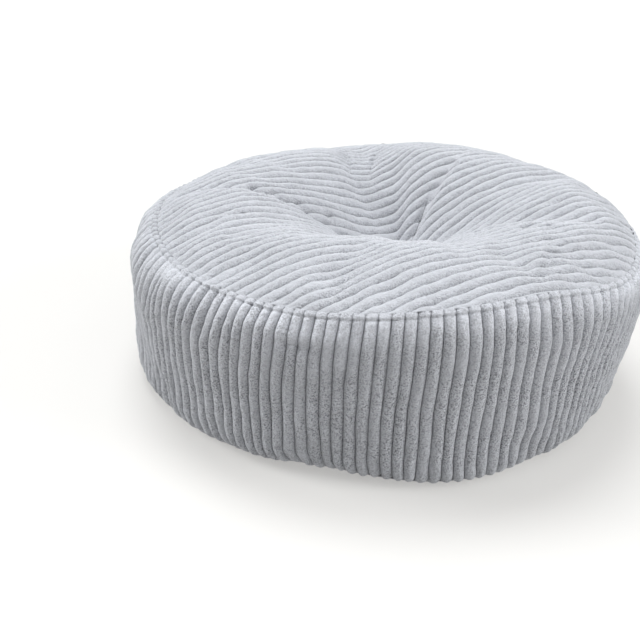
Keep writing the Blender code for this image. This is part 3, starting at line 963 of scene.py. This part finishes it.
# ======== the material
def corduroy():
    """Pale plush pile: sheen, flecks that gather on the ribs' flanks, painted shade in the grooves, and
    painted light.
    """
    material = bpy.data.materials.new("corduroy_pile")
    material.use_nodes = True
    nodes, links = material.node_tree.nodes, material.node_tree.links
    shader = nodes["Principled BSDF"]
    shader.inputs["Roughness"].default_value = 0.9
    shader.inputs["Sheen Weight"].default_value = 0.5
    shader.inputs["Sheen Roughness"].default_value = 0.45
    shader.inputs["Sheen Tint"].default_value = SHEEN_TINT

    def node(kind, **values):
        made = nodes.new(kind)
        for key, value in values.items():
            setattr(made, key, value)
        return made

    def painted(label):
        return node("ShaderNodeAttribute", attribute_name=label).outputs["Fac"]

    def noise(scale, detail, roughness=0.5):
        made = node("ShaderNodeTexNoise")
        made.inputs["Scale"].default_value = scale
        made.inputs["Detail"].default_value = detail
        made.inputs["Roughness"].default_value = roughness
        links.new(place.outputs["Object"], made.inputs["Vector"])
        return made.outputs["Fac"]

    def ranged(source, low, high, to_low, to_high):
        made = node("ShaderNodeMapRange")
        made.inputs["From Min"].default_value = low
        made.inputs["From Max"].default_value = high
        made.inputs["To Min"].default_value = to_low
        made.inputs["To Max"].default_value = to_high
        links.new(source, made.inputs["Value"])
        return made.outputs["Result"]

    def combined(operation, a, b):
        made = node("ShaderNodeMath", operation=operation)
        for socket, source in zip(made.inputs, (a, b)):
            if isinstance(source, float):
                socket.default_value = source
            else:
                links.new(source, socket)
        return made.outputs["Value"]

    place = node("ShaderNodeTexCoord")
    groove = painted("groove")
    painted_shading = painted("painted_shading")
    ruffle = painted("ruffle")
    flecks = noise(FLECK_SCALE, 2.0, 0.6)
    clumps = noise(CLUMP_SCALE, 2.0)
    patches = noise(PATCH_SCALE, 2.0)

    light_flecks = combined("MULTIPLY", ranged(flecks, 0.5, 0.66, 0.0, LIGHT_FLECK), ruffle)
    dark_flecks = combined("MULTIPLY", ranged(flecks, 0.49, 0.36, 0.0, DARK_FLECK), ruffle)
    tone = combined("SUBTRACT", combined("ADD", light_flecks, 1.0), dark_flecks)
    tone = combined("MULTIPLY", tone, ranged(patches, 0.3, 0.7, 0.96, 1.04))
    tone = combined("MULTIPLY", tone, ranged(clumps, 0.35, 0.65, 0.93, 1.04))
    # painted shade in the grooves, along the topstitching and in the sharp fold
    tone = combined("MULTIPLY", tone, ranged(groove, GROOVE_FROM, 1.0, 1.0, GROOVE_TONE))
    # painted light and shade
    tone = combined("MULTIPLY", tone, painted_shading)

    colour = node("ShaderNodeMix", data_type="RGBA", blend_type="MULTIPLY")
    colour.inputs["Factor"].default_value = 1.0
    colour.inputs["A"].default_value = CLOTH_COLOUR
    links.new(tone, colour.inputs["B"])
    links.new(colour.outputs["Result"], shader.inputs["Base Color"])

    height = combined("ADD", flecks, combined("MULTIPLY", clumps, CLUMP_BUMP))
    height = combined("MULTIPLY", height, ranged(ruffle, 0.0, 1.0, BUMP_SMOOTH, BUMP_RUFFLED))
    bump = node("ShaderNodeBump")
    bump.inputs["Strength"].default_value = 1.0
    bump.inputs["Distance"].default_value = BUMP_DISTANCE
    links.new(height, bump.inputs["Height"])
    links.new(bump.outputs["Normal"], shader.inputs["Normal"])
    return material


pile = corduroy()
pieces = {"top_panel": top_piece(), "side_band": band_piece(), "base_panel": base_piece()}
for node_name, piece in pieces.items():
    piece.data.materials.append(pile)
    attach(piece, "root")
    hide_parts(node_name)


# ======== camera, floor and light
def place_camera():
    data = bpy.data.cameras.new("camera")
    data.lens = LENS
    data.sensor_width = SENSOR
    camera = bpy.data.objects.new("camera", data)
    eye = Vector(((EYE - MIDDLE) * MM).tolist())
    aim = Vector(((AIM - MIDDLE) * MM).tolist())
    look = (aim - eye).to_track_quat("-Z", "Y").to_matrix().to_4x4()
    camera.matrix_world = Matrix.Translation(eye) @ look @ Matrix.Rotation(np.radians(ROLL), 4, "Z")
    bpy.context.scene.collection.objects.link(camera)
    bpy.context.scene.camera = camera


def paper(name, colour, glow_colour, glow, roughness):
    """Plain material with a glow of its own."""
    material = bpy.data.materials.new(name)
    material.use_nodes = True
    shader = material.node_tree.nodes["Principled BSDF"]
    shader.inputs["Base Color"].default_value = colour
    shader.inputs["Emission Color"].default_value = glow_colour
    shader.inputs["Emission Strength"].default_value = glow
    shader.inputs["Roughness"].default_value = roughness
    return material


def floor_plane():
    mesh = bpy.data.meshes.new("floor")
    half = FLOOR_HALF
    mesh.from_pydata([(-half, -half, 0), (half, -half, 0), (half, half, 0), (-half, half, 0)], [],
                     [(0, 1, 2, 3)])
    floor = bpy.data.objects.new("floor", mesh)
    bpy.context.scene.collection.objects.link(floor)
    mesh.materials.append(paper("floor_paper", FLOOR_COLOUR, FLOOR_GLOW_COLOUR, FLOOR_GLOW,
                                FLOOR_ROUGHNESS))


def backdrop():
    """Far pale wall that only the camera sees, so that a low view doesn't end in a grey sky."""
    bpy.ops.mesh.primitive_cylinder_add(vertices=WALL_SIDES, radius=WALL_AWAY, depth=WALL_HIGH,
                                        end_fill_type="NOTHING", location=(0, 0, WALL_HIGH / 2))
    wall = bpy.context.object
    wall.name = "backdrop"
    wall.visible_shadow = False
    wall.visible_diffuse = False
    wall.visible_glossy = False
    wall.data.materials.append(paper("backdrop_paper", WALL_COLOUR, WALL_GLOW_COLOUR, WALL_GLOW,
                                     WALL_ROUGHNESS))


def sun(name, strength, angle, direction, colour):
    data = bpy.data.lights.new(name, "SUN")
    data.energy = strength
    data.angle = np.radians(angle)
    data.color = colour
    lamp = bpy.data.objects.new(name, data)
    lamp.rotation_mode = "QUATERNION"
    lamp.rotation_quaternion = Vector(direction).to_track_quat("-Z", "Y")
    bpy.context.scene.collection.objects.link(lamp)


def faint_sky():
    world = bpy.data.worlds.new("studio")
    bpy.context.scene.world = world
    world.use_nodes = True
    background = world.node_tree.nodes["Background"]
    background.inputs["Color"].default_value = (1, 1, 1, 1)
    background.inputs["Strength"].default_value = SKY_STRENGTH


place_camera()
floor_plane()
backdrop()
for row in SUN_ROWS:
    sun(*row)
faint_sky()
bpy.context.scene.view_settings.view_transform = "Standard"
